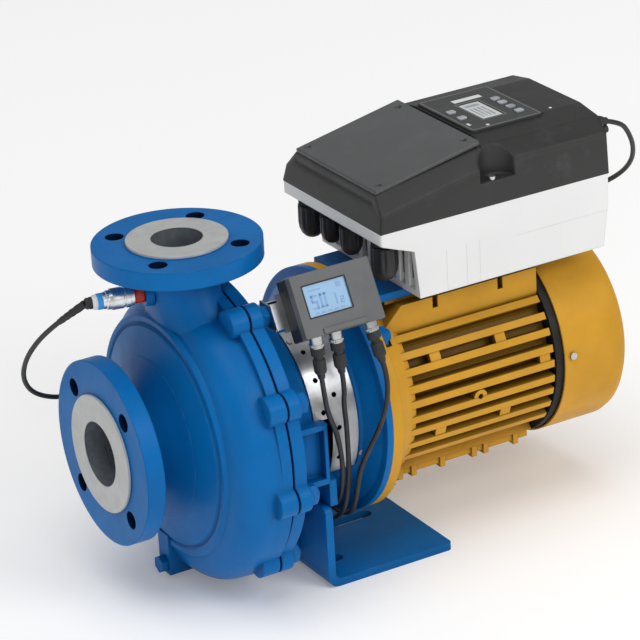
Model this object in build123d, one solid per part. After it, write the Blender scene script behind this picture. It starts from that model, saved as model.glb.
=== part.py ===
"""Close-coupled centrifugal water pump with a motor-mounted speed drive and a pressure monitor.

Frame, in millimetres: the origin is the centre of the suction flange's face, on the shaft axis.
+X runs along the shaft from the suction side to the motor, +Z is up, and -Y is the monitor's side.
The foot stands on the plane z = -SHAFT_HEIGHT.
"""
from build123d import *
from math import cos, pi, radians, sin, tan
import os

# ---------------------------------------------------------------- driving dimensions
SHAFT_HEIGHT = 160          # floor to shaft axis
X_DISCHARGE = 100           # suction face to discharge centreline
Z_DISCHARGE = 200           # shaft axis to discharge face
X_JOINT = 126               # back face of the casing flange
JOINT_GAP = 2.5             # gasket gap between casing and lantern
X_MOTOR = 255               # lantern to motor flange
X_COWL = 471                # front edge of the fan cowl
X_END = 549                 # rear end of the fan cowl

SUCTION = dict(bore=32.5, raised=59, outer=92.5, pcd=145, thick=22)
DISCHARGE = dict(bore=25, raised=49.5, outer=82.5, pcd=125, thick=21)
FLANGE_HOLE = 9             # radius of the flange bolt holes
RAISED = 3                  # height of a flange's raised face

BOSS_COUNT = 10             # clamp bosses around the casing joint
BOSS_CIRCLE = 149
BOSS_RADIUS = 15
LOW_BOSS_RADIUS = 10        # the lowest boss is slimmer, to stay off the floor
BOSS_FIRST = 25             # degrees above the horizontal on the -Y side
JOINT_RING = 152
STUD_RADIUS = 6
STUD_START = 111            # the bosses are blind towards the front

IMPELLER_RADIUS = 104.5
SHAFT_RADIUS = 14
MOTOR_FLANGE = 125
FRAME_CORE = 86             # outside of the motor frame under its ribs
RIB_TOP = 98
COWL_RADIUS = 102.7
ADAPTER_LOW = 104           # underside of the drive's adapter plate
MOTOR_BORE = 72

DRIVE = dict(x0=270, x1=535, half=93, split=188, flange=176, bottom=112)
CORD = 2.5                  # radius of every lead

solids = {}


def node(name, shape):
    """Keep one named sub-part."""
    solids[name] = shape
    return shape


def disc(x0, x1, radius, y=0, z=0):
    """Solid cylinder along X."""
    return Pos((x0 + x1) / 2, y, z) * Rot(0, 90, 0) * Cylinder(radius, x1 - x0)


def ring(x0, x1, outer, inner, y=0, z=0):
    """Hollow cylinder along X."""
    return disc(x0, x1, outer, y, z) - disc(x0 - 1, x1 + 1, inner, y, z)


def block(x0, x1, y0, y1, z0, z1):
    """Box between two corners."""
    return Pos((x0 + x1) / 2, (y0 + y1) / 2, (z0 + z1) / 2) * Box(x1 - x0, y1 - y0, z1 - z0)


def post(x, y, z0, z1, radius):
    """Solid cylinder along Z."""
    return Pos(x, y, (z0 + z1) / 2) * Cylinder(radius, z1 - z0)


def turned(points):
    """Solid of revolution about the shaft axis, from (x, radius) points."""
    outline = Polyline(*[(x, 0, r) for x, r in points], close=True)
    return revolve(make_face(outline), Axis.X, 360)


def hexagon(x0, x1, across_flats, y, z):
    """Hexagonal prism along X."""
    sketch = RegularPolygon(across_flats / 2, 6, major_radius=False)
    return extrude(Plane(origin=(x0, y, z), z_dir=(1, 0, 0)) * sketch, x1 - x0)


def on_circle(radius, angle):
    """(y, z) at an angle, in degrees, above the horizontal on the -Y side."""
    return -radius * cos(radians(angle)), radius * sin(radians(angle))


def boss_places():
    step = 360 / BOSS_COUNT
    return [on_circle(BOSS_CIRCLE, BOSS_FIRST + step * i) for i in range(BOSS_COUNT)]


def boss_radius(z):
    return LOW_BOSS_RADIUS if z < -140 else BOSS_RADIUS


def rod(start, direction, length, radius):
    """Solid cylinder from a point along a direction."""
    plane = Plane(origin=start, z_dir=direction)
    return extrude(plane * Circle(radius), length)


def along(start, direction, distance):
    """Point at a distance from start along a direction."""
    unit = Vector(*direction).normalized()
    return tuple(Vector(*start) + unit * distance)


# ---------------------------------------------------------------- wet end
VOLUTE_SHIFT = (-5, -6)     # the scroll is eccentric, widest towards -Y and the floor
VOLUTE_RADIUS = 147


def shifted_turned(points):
    return Pos(0, *VOLUTE_SHIFT) * turned(points)


def duct(sections):
    """Loft through horizontal ellipses given as (x, y, z, half x, half y)."""
    faces = [Plane(origin=(x, y, z)) * Ellipse(a, b) for x, y, z, a, b in sections]
    return loft(faces)


def make_casing():
    s, d = SUCTION, DISCHARGE
    # suction flange, neck and front dome
    neck = Line((s["thick"], 0, 0), (s["thick"], 0, 47))
    dome = Spline((s["thick"], 0, 47), (34, 0, 43), (48, 0, 52), (60, 0, 82), (68, 0, 110),
                  tangents=[(1, 0, -0.5), (0.25, 0, 1)])
    rim = Polyline((68, 0, 110), (71, 0, 112), (69, 0, 115), (69, 0, 120), (73, 0, 123),
                   (115, 0, 123), (115, 0, 0), (s["thick"], 0, 0))
    front = revolve(make_face(neck + dome + rim), Axis.X, 360)
    r = VOLUTE_RADIUS
    shoulder = Spline((73, 0, 118), (79, 0, r - 14), (90, 0, r - 4), (116, 0, r),
                      tangents=[(0.25, 0, 1), (1, 0, 0.08)])
    back = Polyline((116, 0, r), (X_JOINT, 0, r), (X_JOINT, 0, 0), (73, 0, 0), (73, 0, 118))
    scroll = Pos(0, *VOLUTE_SHIFT) * revolve(make_face(shoulder + back), Axis.X, 360)
    # discharge neck, which rises out of the scroll's shoulder to the flange
    top = Z_DISCHARGE - d["thick"]
    neck_out = duct([(102, 0, top, 37, 37), (103, -1, 155, 37, 41), (105, -3, 128, 35.5, 56),
                     (105, -5, 98, 32, 84), (105, -6, 60, 29, 112)])
    neck_out -= block(X_JOINT, 160, -200, 200, -100, 163)
    body = front + scroll + neck_out
    # joint ring with its clamp bosses
    body += disc(115, X_JOINT, JOINT_RING)
    for y, z in boss_places():
        body += disc(108, X_JOINT, boss_radius(z), y, z)
    # drain boss under the front, and the seats of the two pressure sensors
    body += block(67, 92, 3, 24, -154, -110)
    body += rod(SENSOR_ROOT, SENSOR_DIRECTION, SEAT, 13)
    body += rod(SUCTION_TAP, (0, 1, 0), SEAT, 12)
    # inside
    body -= disc(-1, 80, s["bore"])
    body -= disc(68, 82, 47)
    body -= turned([(80, 0), (80, 60), (84, 108), (90, 112), (X_JOINT + 1, 112), (X_JOINT + 1, 0)])
    body -= shifted_turned([(86, 90), (88, 112), (98, 126), (108, 134), (118, 137), (118, 90)])
    body -= disc(118.5, X_JOINT + 1, 120)
    body -= duct([(X_DISCHARGE, 0, top + 1, d["bore"], d["bore"]), (X_DISCHARGE, 0, 150, 25, 26),
                  (101, -12, 120, 21, 34), (102, -38, 86, 16, 44), (103, -60, 50, 14, 46)])
    for y, z in boss_places():
        body -= disc(STUD_START, X_JOINT + 1, STUD_RADIUS, y, z)
    body -= rod(along(SENSOR_ROOT, SENSOR_DIRECTION, -20), SENSOR_DIRECTION, 40, 5)
    body -= rod(along(SUCTION_TAP, (0, 1, 0), -20), (0, 1, 0), 40, 5)
    body -= disc(60, 84, 6, DRAIN_PLACE[1], DRAIN_PLACE[2])
    node("volute_casing", body)


def make_flanges():
    """The casting's two flanges, in nodes of their own so that their bores stay open in the collision."""
    s, d = SUCTION, DISCHARGE
    top = Z_DISCHARGE - d["thick"]
    suction = disc(RAISED, s["thick"], s["outer"]) + disc(0, RAISED, s["raised"])
    suction -= disc(-1, s["thick"] + 1, s["bore"])
    discharge = post(X_DISCHARGE, 0, top, Z_DISCHARGE - RAISED, d["outer"])
    discharge += post(X_DISCHARGE, 0, Z_DISCHARGE - RAISED, Z_DISCHARGE, d["raised"])
    discharge -= post(X_DISCHARGE, 0, top - 1, Z_DISCHARGE + 1, d["bore"])
    for k in range(4):
        a = radians(45 + 90 * k)
        y, z = s["pcd"] / 2 * cos(a), s["pcd"] / 2 * sin(a)
        suction -= disc(-1, s["thick"] + 1, FLANGE_HOLE, y, z)
        x, y = X_DISCHARGE + d["pcd"] / 2 * cos(a), d["pcd"] / 2 * sin(a)
        discharge -= post(x, y, top - 1, Z_DISCHARGE + 1, FLANGE_HOLE)
    node("suction_flange_ring", suction)
    node("discharge_flange_ring", discharge)


SENSOR_ROOT = (69, 1, 151)          # discharge sensor's seat, on the neck
SENSOR_DIRECTION = (-0.98, 0.2, 0)
SUCTION_TAP = (36, 41, 0)           # suction sensor's seat
SEAT = 8                            # length of a sensor's seat
DRAIN_PLACE = (67, 13.5, -144)


def make_wet_end_inside():
    node("casing_wear_ring", ring(69, 81, 47, 41.4))
    back_plate = ring(104, 109, IMPELLER_RADIUS, 12)
    hub = turned([(84, 12), (84, 18), (96, 20), (104, 34), (112, 22), (112, 12)])
    shroud = turned([(70, 37), (70, 41), (84, 43), (87, 60), (94, IMPELLER_RADIUS),
                     (90, IMPELLER_RADIUS), (82, 60), (80, 37)])
    space = turned([(84, 22), (84, 40), (86, 60), (92, IMPELLER_RADIUS), (105, IMPELLER_RADIUS), (105, 22)])
    vanes = Part()
    for k in range(6):
        a = 60 * k
        line = ThreePointArc(on_circle(30, a), on_circle(72, a + 32), on_circle(IMPELLER_RADIUS, a + 76))
        blade = Plane.YZ * trace(line, 4)
        vanes += Pos(80, 0, 0) * extrude(blade, 26)
    node("impeller", back_plate + hub + shroud + (vanes & space) - disc(80, 113, 12)
         - block(84, 113, -2.5, 2.5, 0, 14.5))
    node("impeller_key", block(88, 110, -2.5, 2.5, 9, 14.5))
    node("impeller_nut", turned([(76, 8), (76, 11), (81, 13), (81, 17), (84, 17), (84, 8)]))
    cover = turned([(118.5, 24), (118.5, 119.8), (X_JOINT + JOINT_GAP, 119.8), (X_JOINT + JOINT_GAP, 60),
                    (134, 40), (146, 34), (146, 16), (136, 16), (136, 24)])
    node("casing_cover", cover)
    node("casing_gasket", ring(X_JOINT, X_JOINT + JOINT_GAP, 138, 121))
    node("seal_stationary_ring", ring(127, 136, 24, 15))
    node("seal_rotating_ring", ring(120, 126.9, 20, SHAFT_RADIUS))
    coil = Helix(pitch=2.4, height=5.4, radius=17, direction=(1, 0, 0))
    wire = Plane(origin=coil @ 0, z_dir=coil % 0) * Circle(0.7)
    node("seal_spring", Pos(113.3, 0, 0) * sweep(wire, path=coil, is_frenet=True))
    x, y, z = DRAIN_PLACE
    node("drain_plug", hexagon(x - 7, x, 16, y, z) + disc(x, x + 12, 6, y, z))
    bolts = Part()
    for y, z in boss_places():
        bolts += disc(STUD_START, 155, STUD_RADIUS, y, z)
        bolts += hexagon(141.5, 151.5, 19, y, z)
    node("casing_bolts", bolts)


# ---------------------------------------------------------------- lantern and foot
X_WING = 193                # pump side of the lantern's cross web, against the foot
WING = 8
WINDOW = (192, 232, -24, 64)        # x from, x to, lowest and highest angle


def wedge_ring(x0, x1, outer, inner, low, high):
    """Part of a ring between two angles, mirrored to both sides."""
    shape = Part()
    piece = ring(x0, x1, outer, inner)
    span = high - low
    for side in (1, -1):
        corner = [(0, 0)]
        for i in range(9):
            y, z = on_circle(300, low + span * i / 8)
            corner.append((side * y, z))
        sector = Plane.YZ * make_face(Polyline(*corner, close=True))
        shape += piece & (Pos(x0 - 1, 0, 0) * extrude(sector, x1 - x0 + 2))
    return shape


def make_lantern():
    x0 = X_JOINT + JOINT_GAP
    body = disc(x0, 141.5, JOINT_RING)
    for y, z in boss_places():
        body += disc(x0, 141.5, boss_radius(z), y, z)
    body += turned([(141, 0), (141, 128), (150, 122), (166, 100), (180, 95), (224, 94), (236, 99),
                    (244, 110), (248, 116), (248, MOTOR_FLANGE), (X_MOTOR, MOTOR_FLANGE), (X_MOTOR, 0)])
    web = block(X_WING, X_WING + WING, -103, 103, -73, 9)
    web += block(X_WING, X_WING + WING, -62, 62, -146, -60)
    body += web
    for side in (-1, 1):
        y0, y1 = sorted((side * 70, side * 107))
        pocket = block(148, X_WING, y0, y1, -46, 18)
        y0, y1 = sorted((side * 97, side * 108))
        pocket -= block(160, 188, y0, y1, -40, 12)
        body += pocket
    body -= turned([(x0 - 1, 0), (x0 - 1, 121), (x0 + 5, 121), (x0 + 5, 112), (150, 104), (168, 90),
                    (182, 86), (226, 86), (240, 98), (X_MOTOR + 1, 98), (X_MOTOR + 1, 0)])
    front_wall = turned([(x0 + 0.01, 62), (x0 + 0.01, 119), (x0 + 7, 119), (x0 + 7, 62)])
    body += front_wall
    low, high, a0, a1 = WINDOW
    body -= wedge_ring(low, high, 120, 80, a0, a1)
    for y, z in boss_places():
        body -= disc(x0 - 1, 143, STUD_RADIUS, y, z)
    for y, z in FLANGE_SCREWS:
        body -= disc(248, X_MOTOR + 1, 6, y, z)
    for y, z in FOOT_SCREWS:
        body -= disc(X_WING - 1, X_WING + WING + 1, 6, y, z)
    body -= guard_shape(0.0)
    node("window_guards", guard_shape(0.3))
    screws = Part()
    for side in (1, -1):
        for x, a in GUARD_SCREWS:
            y, z = on_circle(94, a)
            screws += rod((x, side * y, z), (0, side * y, z), 5, 3)
    node("guard_screws", screws)
    node("drive_lantern", body - screws)


FLANGE_SCREWS = [on_circle(107.5, 45 + 90 * k) for k in range(4)]
FOOT_SCREWS = [(-42, -102), (42, -102), (-42, -134), (42, -134)]
GUARD_SCREWS = [(188, 60), (188, 14), (236, 58), (236, -18)]
GUARD_OUT = 97.2


def guard_shape(gap):
    """Perforated guard sheets over both windows; gap trims their edges."""
    sheet = wedge_ring(184 + gap, 240 - gap, GUARD_OUT, GUARD_OUT - 1.2, 10, 68)
    sheet += wedge_ring(X_WING + WING + 2 + gap, 240 - gap, GUARD_OUT, GUARD_OUT - 1.2, -28, 10)
    if gap > 0:
        for side in (1, -1):
            for x, a in GUARD_HOLES + GUARD_SCREWS:
                y, z = on_circle(90, a)
                radius = 2.6 if (x, a) in GUARD_HOLES else 3
                sheet -= rod((x, side * y, z), (0, side * y, z), 14, radius)
    return sheet


GUARD_HOLES = [(211, -17), (211, 2.7), (211, 22.4), (211, 42), (211, 60), (196, 14), (196, 33), (196, 51)]


def make_foot():
    base = block(185, 328, -106, 106, -SHAFT_HEIGHT, -SHAFT_HEIGHT + 8)
    upright = block(185, X_WING, -106, 106, -SHAFT_HEIGHT, -73)
    bracket = base + upright
    inner = bracket.edges().filter_by(Axis.Y).filter_by(
        lambda e: abs(e.center().X - X_WING) < 0.1 and abs(e.center().Z + SHAFT_HEIGHT - 8) < 0.1)
    bracket = fillet(inner, 6)
    outer = bracket.edges().filter_by(Axis.Y).filter_by(
        lambda e: abs(e.center().X - 185) < 0.1 and abs(e.center().Z + SHAFT_HEIGHT) < 0.1)
    bracket = fillet(outer, 12)
    corners = bracket.edges().filter_by(Axis.Z).filter_by(lambda e: abs(e.center().X - 328) < 0.1)
    bracket = fillet(corners, 5)
    tops = bracket.edges().filter_by(Axis.X).filter_by(lambda e: abs(e.center().Z + 73) < 0.1)
    bracket = fillet(tops, 8)
    for x, y, length in FOOT_SLOTS:
        slot = Pos(x, y, -SHAFT_HEIGHT + 4) * extrude(SlotOverall(length, 2 * SLOT_RADIUS), 6, both=True)
        bracket -= slot
    for y, z in FOOT_SCREWS:
        bracket -= disc(184, 194, 6, y, z)
    bracket -= disc(184, 194, 97, 0, 0)
    node("foot_bracket", bracket)
    screws = Part()
    for y, z in FOOT_SCREWS:
        screws += disc(185, X_WING + WING + 9, 6, y, z)
        screws += hexagon(177.5, 185, 18, y, z)
        screws += hexagon(X_WING + WING, X_WING + WING + 9, 18, y, z)
    for y, z in FLANGE_SCREWS:
        screws += disc(248, 283, 6, y, z)
        screws += hexagon(266.5, 277.5, 19, y, z)
    node("lantern_bolts", screws)


SLOT_RADIUS = 7
FOOT_SLOTS = [(272, 0, 50), (208.5, -65, 31), (208.5, 65, 31)]


# ---------------------------------------------------------------- motor
BEARINGS = ((272, 290), (444, 460))


def make_motor_frame():
    frame = turned([(X_MOTOR, 0), (X_MOTOR, MOTOR_FLANGE), (266.5, MOTOR_FLANGE), (266.5, 116),
                    (272, 108), (288, 101), (298, 97.5), (302, FRAME_CORE), (462, FRAME_CORE), (462, 0)])
    rib = Part()
    for a in RIB_ANGLES:
        y, z = on_circle((FRAME_CORE + RIB_TOP) / 2 - 1, a)
        thick = 7.5
        fin = Pos((288 + 460) / 2, y, z) * Rot(-a, 0, 0) * Box(460 - 288, RIB_TOP - FRAME_CORE + 6, thick)
        rib += fin
    frame += rib
    seat = Polyline((280, 0, 50), (280, 0, 74), (304, 0, 98), (462, 0, 98), (462, 0, 50), close=True)
    frame += extrude(make_face(seat), 68, both=True)
    frame += block(292, 461, -57, 57, 98, ADAPTER_LOW)
    frame += block(296, 458, -48, 48, -94, -70)
    for x in (302, 318, 352, 390, 404, 440):
        frame += block(x, x + 6, -50, 50, -98, -80)
    for x, a in RIB_PADS:
        y, z = on_circle(92, a)
        frame += Pos(x, y, z) * Rot(-a, 0, 0) * Box(12, 14, 17)
    for x in (340, 416):
        for side in (-1, 1):
            frame -= block(x, x + 6, side * 68 - 8, side * 68 + 8, 86, 99)
    earth = (0, -cos(radians(-4)), sin(radians(-4)))
    frame += rod((372, 0, 0), earth, 99.5, 7.5)
    frame -= rod((372, 0, 0), earth, 110, 2.8)
    frame -= disc(X_MOTOR - 1, 463, MOTOR_BORE)
    for y, z in FLANGE_SCREWS:
        frame -= disc(X_MOTOR - 1, 267, 6, y, z)
        frame -= disc(266.5, 285, 12, y, z)
    node("motor_frame", frame)


RIB_ANGLES = [42, 31.5, 22, 12, 3, -6.5, -15, -25, -36] + \
             [180 - a for a in (42, 31.5, 22, 12, 3, -6.5, -15, -25, -36)] + [-60, -75, -105, -120, 270]
RIB_PADS = [(328, 27), (404, 27), (328, -20), (404, -20), (450, 7), (328, 153), (404, 153)]


def make_motor_inside():
    node("drive_end_shield", turned([(256, 20), (256, MOTOR_BORE), (268, MOTOR_BORE), (290, 46), (290, 36.05),
                                     (272, 36.05), (272, 20)]))
    node("rear_end_shield", turned([(444, 36.05), (444, 46), (462, 60), (462, 100), (469, 100), (469, 24),
                                    (460, 24), (460, 36.05)]))
    node("stator_core", ring(300, 430, MOTOR_BORE, 45.5))
    node("stator_winding", ring(291, 300, 66, 48) + ring(430, 443, 66, 48))
    node("rotor_core", ring(302, 428, 45, 20))
    outer = Part()
    inner = Part()
    for x0, x1 in BEARINGS:
        mid = (x0 + x1) / 2
        groove = Pos(mid, 0, 0) * Rot(0, 90, 0) * Torus(25.5, 5.05)
        outer += ring(x0, x1, 36, 28.5) - groove
        inner += ring(x0, x1, 22.5, 15) - groove
        for k in range(9):
            y, z = on_circle(25.5, 40 * k)
            inner += Pos(mid, y, z) * Sphere(5.0)
    node("bearing_outer_rings", outer)
    node("bearing_inner_rings", inner)
    node("pump_shaft", turned([(78, 0), (78, 8), (84, 8), (84, 12), (112, 12), (112, SHAFT_RADIUS),
                               (170, SHAFT_RADIUS), (176, 22), (246, 22), (246, 14), (190, 14), (190, 0)])
         - block(88, 110, -2.5, 2.5, 9, 20))
    node("motor_shaft", turned([(192, 0), (192, 14), (262, 14), (262, 15), (290, 15), (290, 20), (438, 20),
                                (444, 15), (462, 15), (462, 12), (522, 12), (522, 0)]))


def make_fan_and_cowl():
    """The fan and its cowl; returns the cowl's screws, which share a node with the drive's."""
    fan = ring(484, 510, 24, 12) + ring(484, 488, 60, 12)
    for k in range(8):
        a = 45 * k
        y, z = on_circle(52, a)
        fan += Pos(498, y, z) * Rot(-a, 0, 0) * Box(26, 68, 3)
    node("cooling_fan", fan - disc(480, 530, 12))
    cowl = turned([(X_COWL, COWL_RADIUS - 2), (X_COWL, COWL_RADIUS), (538, COWL_RADIUS),
                   (544, COWL_RADIUS - 2), (547.5, COWL_RADIUS - 6), (X_END, COWL_RADIUS - 13), (X_END, 0),
                   (X_END - 2, 0), (X_END - 2, COWL_RADIUS - 13), (545, COWL_RADIUS - 8),
                   (542, COWL_RADIUS - 4), (537, COWL_RADIUS - 2)])
    for radius in (30, 44, 58, 72):
        for k in range(8):
            low = 45 * k + 5
            cowl -= grille_slot(radius, low, low + 35)
    node("fan_cowl", cowl)
    screws = Part()
    for a in COWL_SCREWS:
        y, z = on_circle(COWL_RADIUS, a)
        screws += rod((480, y, z), (0, y, z), 3, 3.6)
    return screws


COWL_SCREWS = (5, 95, 185, 275)


def grille_slot(radius, low, high):
    """Curved ventilation slot through the cowl's rear wall."""
    middle = (low + high) / 2
    path = ThreePointArc(on_circle(radius, low), on_circle(radius, middle), on_circle(radius, high))
    return Pos(X_END - 4, 0, 0) * extrude(Plane.YZ * trace(path, 7), 6)


# ---------------------------------------------------------------- speed drive
def drive_section(x, crease, edge_y, edge_z, crown):
    """Cross-section of the cover at x: near-vertical side, sloping shoulder and crowned top."""
    half = DRIVE["half"]
    z0 = DRIVE["split"]
    points = [(-half, z0), (-half + 3, crease), (-edge_y, edge_z),
              (-edge_y * 0.6, crown), (edge_y * 0.6, crown),
              (edge_y, edge_z), (half - 3, crease), (half, z0)]
    upright = Plane(origin=(x, 0, 0), x_dir=(0, 1, 0), z_dir=(1, 0, 0))
    return upright * make_face(Polyline(*points, close=True))


LID_LOW = (277, 221.5)      # x and z of the lid's lower edge
LID_HIGH = (397, 245.5)


def lid_slab(inset, low, high):
    """Slab parallel to the lid's slope, between two heights above it."""
    slope = (LID_HIGH[1] - LID_LOW[1]) / (LID_HIGH[0] - LID_LOW[0])
    x0, x1 = LID_LOW[0] + inset, LID_HIGH[0] - inset
    z0 = LID_LOW[1] + slope * inset
    z1 = LID_HIGH[1] - slope * inset
    side = Polyline((x0, 0, z0 + low), (x1, 0, z1 + low), (x1, 0, z1 + high), (x0, 0, z0 + high), close=True)
    return extrude(make_face(side), 75 - inset, both=True)


def make_drive(cowl_screws):
    d = DRIVE
    # pale heat-sink housing
    cheek = Polyline((270, 0, 188), (270, 0, 176), (307, 0, 162), (311.5, 0, 112), (527, 0, 112), (535, 0, 170),
                     (535, 0, 188), close=True)
    housing = extrude(make_face(cheek), d["half"], both=True)
    housing -= block(268, 311.5, -86, 86, 100, d["flange"])
    housing -= block(316, 526, -87, 87, 126, 189)
    housing -= block(274, 320, -87, 87, 180, 189)
    for i in range(10):
        y = -78 + i * 17.3
        housing -= block(311, 318, y - 5, y + 5, 118, 172)
    for i in range(9):
        y = -76 + i * 19
        housing -= block(470, 530, y - 6, y + 6, 111, 122)
    vertical = housing.edges().filter_by(Axis.Z).filter_by(lambda e: abs(abs(e.center().Y) - d["half"]) < 0.1)
    housing = fillet(vertical, 3)
    node("drive_heatsink", housing - gland_holes())
    # dark cover
    left = loft([drive_section(268, 204, 76, 219.6, 219.6),
                 drive_section(398, 229.5, 69, 245.7, 245.7)], ruled=True)
    right = loft([drive_section(398, 230, 74, 244, 249), drive_section(535, 230, 75, 244, 249)], ruled=True)
    outside = left + right
    outside -= extrude(make_face(Polyline((260, 0, 186), (270, 0, 187), (277.5, 0, 224), (260, 0, 260),
                                          close=True)), 120, both=True)
    inside = loft([drive_section(272, 200, 72, 214, 214), drive_section(398, 225, 66, 240, 240)], ruled=True)
    inside += loft([drive_section(397, 225, 70, 239, 245), drive_section(531, 225, 70, 239, 245)], ruled=True)
    inside = inside & block(276, 531, -89, 89, 187, 260)
    for side in (-1, 1):
        scoop = post(406, side * 95, 212, 262, 20.5)
        outside -= scoop
        inside -= post(406, side * 95, 208, 262, 24.5)
    outside -= block(398, 402, -60, 60, 243, 262)
    cover = outside - inside
    cover -= block(402, 490, -53, 53, 248, 252)
    cover += block(402, 490, -53, 53, 244, 248) & outside
    node("drive_cover", cover - cover_screw_holes() - key_pocket() - lid_slab(0, 0, 4))
    node("terminal_lid", lid_slab(0.4, 0, 4) - lid_screw_holes())
    node("cover_screws", cover_screws() + lid_screws() + cowl_screws)
    node("drive_circuit_board", block(320, 520, -80, 80, 176, 177.6) + block(340, 400, -50, 10, 177.6, 200)
         + block(430, 500, -60, 20, 177.6, 196))
    node("drive_adapter", block(283, 456, -62, 62, ADAPTER_LOW, d["bottom"]))


def gland_holes():
    holes = Part()
    for y, radius, _ in GLANDS:
        holes += post(289, y, 170, 182, radius * 0.55)
    return holes


GLANDS = [(72, 12.5, 131), (33, 10.5, 137), (-4, 10.5, 136), (-66, 12.5, 130)]


def make_glands():
    glands = Part()
    for y, radius, low in GLANDS:
        top = DRIVE["flange"]
        body = post(289, y, top - 6, top, radius * 0.95)
        body += post(289, y, low + 7, top - 6, radius * 0.86)
        body += extrude(Pos(289, y, low + 6) * RegularPolygon(radius, 6, major_radius=False), 20)
        body += Pos(289, y, low) * extrude(Circle(radius * 0.86), 7)
        body += post(289, y, top, 181, radius * 0.55)
        glands += body
    node("cable_glands", glands)


LID_SCREW_PLACES = [(286, 66), (388, 60), (286, -66), (388, -60)]


def lid_height(x):
    slope = (LID_HIGH[1] - LID_LOW[1]) / (LID_HIGH[0] - LID_LOW[0])
    return LID_LOW[1] + slope * (x - LID_LOW[0])


def lid_screw_holes():
    holes = Part()
    for x, y in LID_SCREW_PLACES:
        holes += post(x, y, lid_height(x) - 3, lid_height(x) + 8, 3.2)
    return holes


def lid_screws():
    screws = Part()
    for x, y in LID_SCREW_PLACES:
        screws += post(x, y, lid_height(x) + 0.8, lid_height(x) + 2.6, 3.0)
    return screws


def cover_screw_holes():
    holes = Part()
    for side in (-1, 1):
        holes += post(402, side * 86, 200, 214, 2.5)
    return holes


def cover_screws():
    screws = Part()
    for side in (-1, 1):
        screws += post(402, side * 86, 212, 215.5, 4)
        screws += post(402, side * 86, 202, 212, 2.5)
    return screws


# ---------------------------------------------------------------- operating panel
PANEL = dict(x0=404, x1=488, half=51, z=248, thick=2.5)
SCREEN = (432, 456, -28, 19)
KEYS = {"up_key": (472, 12), "down_key": (472, -1), "back_key": (472, -16), "enter_key": (472, -31),
        "manual_key": (416, 6), "auto_key": (416, -14)}
KEY_SIZE = (9, 8)


def key_pocket():
    """Room under the keys in the cover's panel floor."""
    pocket = Part()
    for x, y in KEYS.values():
        pocket += block(x - 6, x + 6, y - 5.4, y + 5.4, 245, 249)
    return pocket


def make_panel():
    p = PANEL
    top = p["z"] + p["thick"]
    bezel = block(p["x0"], p["x1"], -p["half"], p["half"], p["z"], top)
    bezel = fillet(bezel.edges().filter_by(Axis.Z), 4)
    x0, x1, y0, y1 = SCREEN
    bezel -= block(x0, x1, y0, y1, p["z"] - 1, top + 1)
    bezel -= post(426, -45, p["z"] - 1, top + 1, 2)
    a, b = KEY_SIZE
    for name, (x, y) in KEYS.items():
        half_x, half_y = a / 2 + 0.3, b / 2 + 0.3
        bezel -= block(x - half_x, x + half_x, y - half_y, y + half_y, p["z"] - 1, top + 1)
        cap = block(x - a / 2, x + a / 2, y - b / 2, y + b / 2, p["z"] - 0.5, top + 1.2)
        cap = fillet(cap.edges().filter_by(Axis.Z), 2)
        skirt = block(x - a / 2 - 1, x + a / 2 + 1, y - b / 2 - 1, y + b / 2 + 1, p["z"] - 1.6, p["z"] - 0.5)
        node(name, cap + skirt)
    node("panel_bezel", bezel)
    node("panel_windows", block(x0 + 0.2, x1 - 0.2, y0 + 0.2, y1 - 0.2, p["z"], top - 0.6)
         + post(426, -45, p["z"], top + 0.5, 1.9))


# ---------------------------------------------------------------- monitor
MONITOR_PLACE = Location((208, -112, 147)) * Location((0, 0, 0), (-28.4, 0, 0))
MONITOR = dict(width=87, height=61.5, front=9, depth=28)
MONITOR_SCREEN = (-34, 14.4, -13, 19.4)     # local x and z limits of the screen
PLUGS = {"left": ((179, -118.5, 109), (0.05, -0.09, -1)), "middle": ((200.5, -118.5, 109), (0.07, -0.1, -1)),
         "right": ((239.5, -119, 110), (0.14, -0.3, -1))}


def make_monitor():
    m = MONITOR
    w, h = m["width"] / 2, m["height"] / 2
    front = fillet(block(-w, w, 0, m["front"], -h, h).edges().filter_by(Axis.Y), 2)
    front -= block(MONITOR_SCREEN[0], MONITOR_SCREEN[1], -1, 2.5, MONITOR_SCREEN[2], MONITOR_SCREEN[3])
    front += block(-24, 24, -1.5, 0.5, -h + 1, -h + 6)
    back = fillet(block(-w, w, m["front"], m["depth"], -h, h).edges().filter_by(Axis.Y), 2)
    screen = block(MONITOR_SCREEN[0] + 0.2, MONITOR_SCREEN[1] - 0.2, 1.2, 2.5, MONITOR_SCREEN[2] + 0.2,
                   MONITOR_SCREEN[3] - 0.2)
    sockets = Part()
    for start, direction in PLUGS.values():
        sockets += rod(along(start, direction, -9), direction, 12, 6.5)
    node("monitor_sockets", sockets)
    node("monitor_front", MONITOR_PLACE * front - sockets)
    node("monitor_housing", MONITOR_PLACE * back - sockets)
    node("monitor_screen", MONITOR_PLACE * screen)
    plate = block(-48, 18, m["depth"], m["depth"] + 2, -18, 20)
    arm = block(-56.5, -48, m["depth"], m["depth"] + 2, -14, 12)
    y, z = on_circle(BOSS_CIRCLE, BOSS_FIRST + 36)
    tab = block(151.5, 154, -91, y + 11, z - 11, z + 11) - disc(150, 156, 6.2, y, z)
    tab -= MONITOR_PLACE * block(-80, -40, -20, m["depth"], -60, 60)
    node("monitor_bracket", MONITOR_PLACE * (plate + arm) + tab)
    plugs = Part()
    for start, direction in PLUGS.values():
        low = along(start, direction, 3)
        plugs += rod(low, direction, 8, 6.8)
        plugs += rod(along(low, direction, 8), direction, 4, 4.6)
        plugs += rod(along(low, direction, 12), direction, 14, 6.2)
        plugs += rod(along(low, direction, 26), direction, 6, 4)
    node("monitor_plugs", plugs)


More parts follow.
